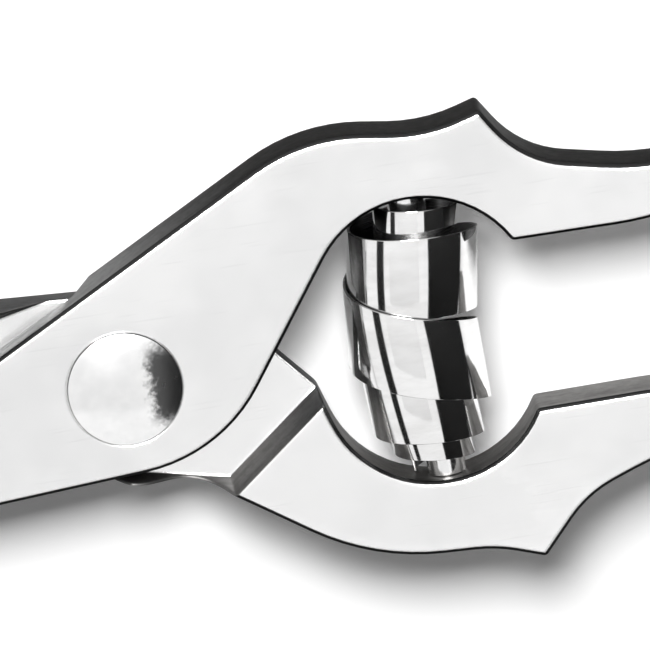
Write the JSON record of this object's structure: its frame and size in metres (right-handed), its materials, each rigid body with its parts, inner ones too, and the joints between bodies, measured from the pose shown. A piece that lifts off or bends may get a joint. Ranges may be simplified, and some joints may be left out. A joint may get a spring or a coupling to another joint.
{
  "type": "nutcracker",
  "caption": "Polished steel crossed-lever nutcracker with toothed jaws, pivot rivet and a volute spring that holds the handles open.",
  "frame": {"origin": "centre of the pivot, at the levers' back faces", "axes": "+X to the handles along the line that halves the tool, +Y to the front lever's handle, +Z out of the front face along the pivot"},
  "size_m": [0.206, 0.0615, 0.0182],
  "materials": {
    "polished_steel": "polished",
    "rivet_steel": "polished",
    "spring_steel": "bright"
  },
  "bodies": {
    "rear": {"rear_lever": "polished_steel", "pivot_rivet": "rivet_steel", "rivet_collar": "rivet_steel", "lower_spring_peg": "rivet_steel", "volute_spring": "spring_steel"},
    "front": {"front_lever": "polished_steel", "upper_spring_peg": "rivet_steel"}
  },
  "joints": [
    {"name": "lever_pivot", "type": "hinge", "parent": "rear", "child": "front", "pos_m": [0, 0, 0.00475], "axis": [0, 0, -1], "range_deg": [0, 16], "stiffness_Nm_per_rad": 2.8, "springref_deg": -8.59, "deforming": ["volute_spring"]}
  ]
}
